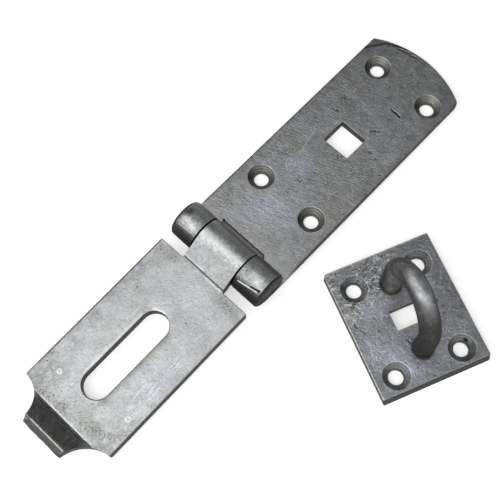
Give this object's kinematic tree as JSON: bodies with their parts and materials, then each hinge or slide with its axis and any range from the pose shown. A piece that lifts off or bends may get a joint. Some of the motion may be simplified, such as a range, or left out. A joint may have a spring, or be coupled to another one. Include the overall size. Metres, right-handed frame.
{
  "type": "hasp and staple",
  "caption": "Heavy strap hasp with a rolled-knuckle hinge, a slotted swinging leaf with a bent nose, and a separate square staple plate with a round-bar loop.",
  "frame": {"origin": "centre of the fixed leaf's bolt hole, on the leaf's back face, which is the plane of the door and of the table that the part lies on", "axes": "+X runs along the fixed leaf from the hinge towards its rounded end; +Y runs across the leaves, away from the staple; +Z points away from the door, out of the leaves' faces; the hinge pin lies along Y at x = -76.2 mm, z = 8.7 mm"},
  "size_m": [0.2402, 0.1351, 0.0452],
  "materials": {
    "galvanised_fixed_leaf": "hot-dip galvanised steel, weathered blue-grey",
    "galvanised_swinging_leaf": "hot-dip galvanised steel, light grey",
    "galvanised_pin": "hot-dip galvanised steel round bar",
    "galvanised_staple_plate": "hot-dip galvanised steel with dross and runs",
    "galvanised_loop": "hot-dip galvanised steel round bar, dull"
  },
  "bodies": {
    "fixed_side": {"fixed_leaf": "galvanised_fixed_leaf", "hinge_pin": "galvanised_pin"},
    "swinging_leaf": {"hasp_leaf": "galvanised_swinging_leaf"},
    "staple": {"staple_plate": "galvanised_staple_plate", "staple_loop": "galvanised_loop"}
  },
  "joints": [
    {"name": "leaf_swing", "type": "hinge", "parent": "fixed_side", "child": "swinging_leaf", "pos_m": [-0.0762, 0, 0.0087], "axis": [0, 1, 0], "range_deg": [0, 181]},
    {"name": "staple_lift", "type": "slide", "parent": "fixed_side", "child": "staple", "axis": [0, 0, 1], "range_m": [0, 0.06]}
  ]
}
